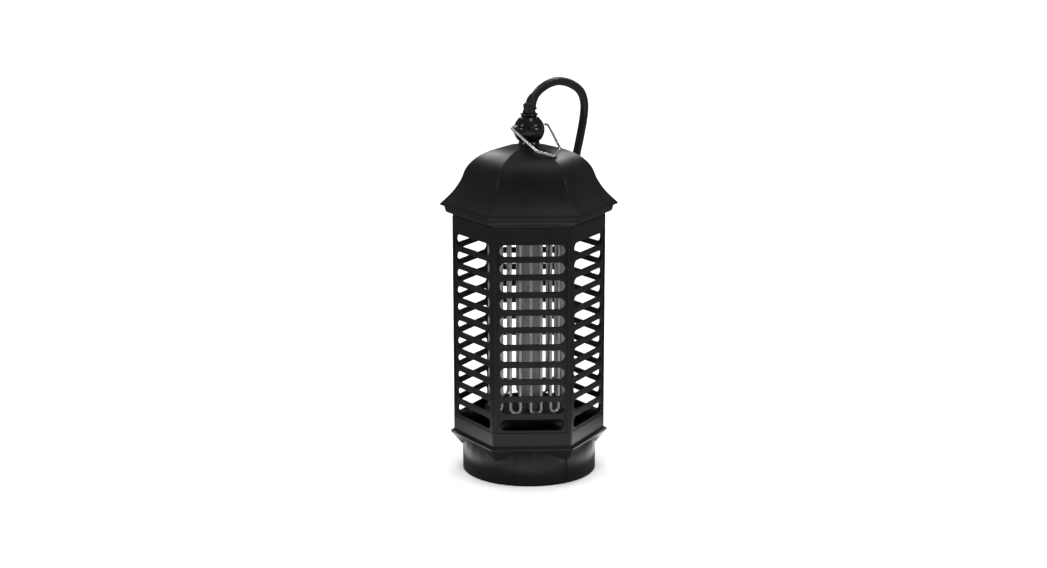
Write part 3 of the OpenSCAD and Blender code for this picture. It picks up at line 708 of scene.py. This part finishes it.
def make_tie():
    """A flat strap over the coil, thinner at its edges."""
    place = Matrix.Translation(COIL_CENTRE) @ Matrix.Rotation(TIE_ANGLE, 4, "Z")
    centre_line = [Vector((TIE_AT_R + x, 0, z)) for x, z in tie_line()]
    points = []
    outline = rounded_outline(TIE_HALF_BREADTH, TIE_T / 2, TIE_SQUARENESS, STRAP_SIDES)
    for point, (tangent, _, _) in zip(centre_line, carried_frames(centre_line)):
        out = Vector((0, 1, 0)).cross(tangent)
        points += [place @ ((point + Vector((0, y, 0)) + out * z) * MM) for y, z in outline]
    return mesh_piece("tie_strap", points, tube_faces(len(centre_line), STRAP_SIDES), "housing", 40)


plug_shell = make_plug()
plug_pins = make_blades()
tie_strap = make_tie()
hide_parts("plug_body")
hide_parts("plug_blades")
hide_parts("coil_tie")


# ---------- finishes ----------

for piece, material_slot in ((mains_lead, "cable_sleeve"), (strain_relief, "cable_sleeve"),
                             (roof_skin, "black_plastic"), (ball_lower, "gloss_black"),
                             (ball_cap, "gloss_black"), (bail_wire, "bail_steel"),
                             (plug_shell, "cable_sleeve"), (plug_pins, "brass"), (tie_strap, "tie")):
    paint(piece, material_slot)

for entry in frame["record"]["subparts"]:
    paint(frame["nodes"][entry["node"]], entry["material_slot"])

# CAD nodes whose edges are softened, with the width of the softened edge in millimetres
SOFTENED = {"cage_frame": 0.35, "base_ring": 0.3, "collection_cup": 0.5, "grille_front": 0.3,
            "grille_front_right": 0.3, "grille_back_right": 0.3, "grille_back": 0.3,
            "grille_back_left": 0.3, "grille_front_left": 0.3}
WELD_MM = 0.002
SOFT_EDGE_DEG = 40


def soften(node, width):
    """Rounds a CAD node's sharp edges and shades its broad faces flat between them."""
    weld = node.modifiers.new("weld", "WELD")
    weld.merge_threshold = WELD_MM * MM
    bevel = node.modifiers.new("soft_edges", "BEVEL")
    bevel.width = width * MM
    bevel.segments = 2
    bevel.limit_method = "ANGLE"
    bevel.angle_limit = math.radians(SOFT_EDGE_DEG)
    bevel.harden_normals = True


for name, width in SOFTENED.items():
    soften(frame["nodes"][name], width)


# ---------- floor, backdrop and light ----------

FLOOR_SIZE = 30
FLOOR_Z = -0.0002
BACKDROP_R, BACKDROP_HEIGHT, BACKDROP_WALL = 14, 9, 0.1
BACKDROP_GLOW = 1.05
CARD_Z = 0.004


def make_floor():
    half = FLOOR_SIZE / 2
    mesh = bpy.data.meshes.new("floor")
    corners = [(-half, -half, 0), (half, -half, 0), (half, half, 0), (-half, half, 0)]
    mesh.from_pydata(corners, [], [(0, 1, 2, 3)])
    floor = bpy.data.objects.new("floor", mesh)
    floor.location.z = FLOOR_Z
    floor.visible_glossy = False
    scene.collection.objects.link(floor)
    mesh.materials.append(surface("pale_floor", (0.86, 0.86, 0.86), (0.88, 0.88, 0.88), (0.6, 0.7),
                                  patch=3, grain=300, grain_strength=0.02))


def make_backdrop():
    """A white wall all round, seen by the camera only, so that low views stay clean."""
    outer_r = BACKDROP_R + BACKDROP_WALL
    outline = [(BACKDROP_R, 0), (BACKDROP_R, BACKDROP_HEIGHT), (outer_r, BACKDROP_HEIGHT), (outer_r, 0)]
    points, faces = lathe(outline, 96)
    mesh = bpy.data.meshes.new("backdrop")
    mesh.from_pydata([tuple(p) for p in points], [], faces)
    backdrop = bpy.data.objects.new("backdrop", mesh)
    scene.collection.objects.link(backdrop)
    material, tree, shader, place = new_material("white_backdrop")
    cloud = noise(tree, place, 0.5)
    white = ramp(tree, cloud, [(0.3, (0.98, 0.98, 0.98)), (0.7, (1, 1, 1))])
    tree.links.new(white, shader.inputs["Emission Color"])
    shader.inputs["Emission Strength"].default_value = BACKDROP_GLOW
    mesh.materials.append(material)
    backdrop.visible_diffuse = False
    backdrop.visible_glossy = False
    backdrop.visible_transmission = False
    backdrop.visible_shadow = False


def make_world(below, horizon, zenith):
    """A quiet studio: dim overhead, paler from the horizon down."""
    world = bpy.data.worlds.new("studio")
    world.use_nodes = True
    tree = world.node_tree
    tree.nodes.clear()
    output = tree.nodes.new("ShaderNodeOutputWorld")
    background = tree.nodes.new("ShaderNodeBackground")
    tree.links.new(background.outputs["Background"], output.inputs["Surface"])
    split = tree.nodes.new("ShaderNodeSeparateXYZ")
    tree.links.new(tree.nodes.new("ShaderNodeTexCoord").outputs["Generated"], split.inputs["Vector"])
    height = spread_value(tree, split.outputs["Z"], 0, 1, -1, 1)
    colours = [(0.3, (below,) * 3), (0.5, (horizon,) * 3), (0.8, (zenith,) * 3)]
    tree.links.new(ramp(tree, height, colours), background.inputs["Color"])
    scene.world = world


def place_light(light, location, target):
    light.location = location
    light.rotation_euler = (Vector(target) - Vector(location)).to_track_quat("-Z", "Y").to_euler()
    light.visible_camera = False
    scene.collection.objects.link(light)


def area_light(name, location, target, width, height, power):
    data = bpy.data.lights.new(name, "AREA")
    data.shape = "RECTANGLE"
    data.size, data.size_y = width, height
    data.energy = power
    place_light(bpy.data.objects.new(name, data), location, target)


def floor_card(name, x, y, width, depth, power):
    """A light panel that lies on the floor, for the glossy sides to reflect."""
    area_light(name, (x, y, CARD_Z), (x, y, 1), width, depth, power)


def overhead_sun(strength, spread_deg):
    """Even light on the whole floor, too broad to show as a highlight."""
    data = bpy.data.lights.new("overhead", "SUN")
    data.energy = strength
    data.angle = math.radians(spread_deg)
    light = bpy.data.objects.new("overhead", data)
    place_light(light, (0, 0, 3), (0, 0, 0))
    light.visible_glossy = False


make_floor()
make_backdrop()
make_world(0.17, 0.13, 0.05)
overhead_sun(4.6, 70)
area_light("top_strip", (0.25, 0, 1.5), (0.1, 0, 0.2), 0.8, 0.3, 1.4)
area_light("back_left_window", (-0.5, 1.4, 1.15), (0, 0, 0.2), 0.36, 0.3, 4)
area_light("back_right_window", (0.62, 1.3, 1.15), (0, 0, 0.2), 0.3, 0.3, 3.6)
floor_card("left_card", -0.084, -0.02, 0.046, 0.16, 0.055)
floor_card("right_card", 0.084, -0.02, 0.046, 0.16, 0.07)
floor_card("front_near_card", 0, -0.15, 0.12, 0.18, 0.065)
floor_card("front_card", 0, -0.58, 0.8, 0.68, 0.55)
area_light("left_window", (-1.3, -0.6, 0.75), (0, 0, 0.2), 0.35, 0.8, 3)
area_light("right_window", (1.2, -0.8, 0.7), (0, 0, 0.2), 0.3, 0.8, 4)
scene.view_settings.view_transform = "Standard"
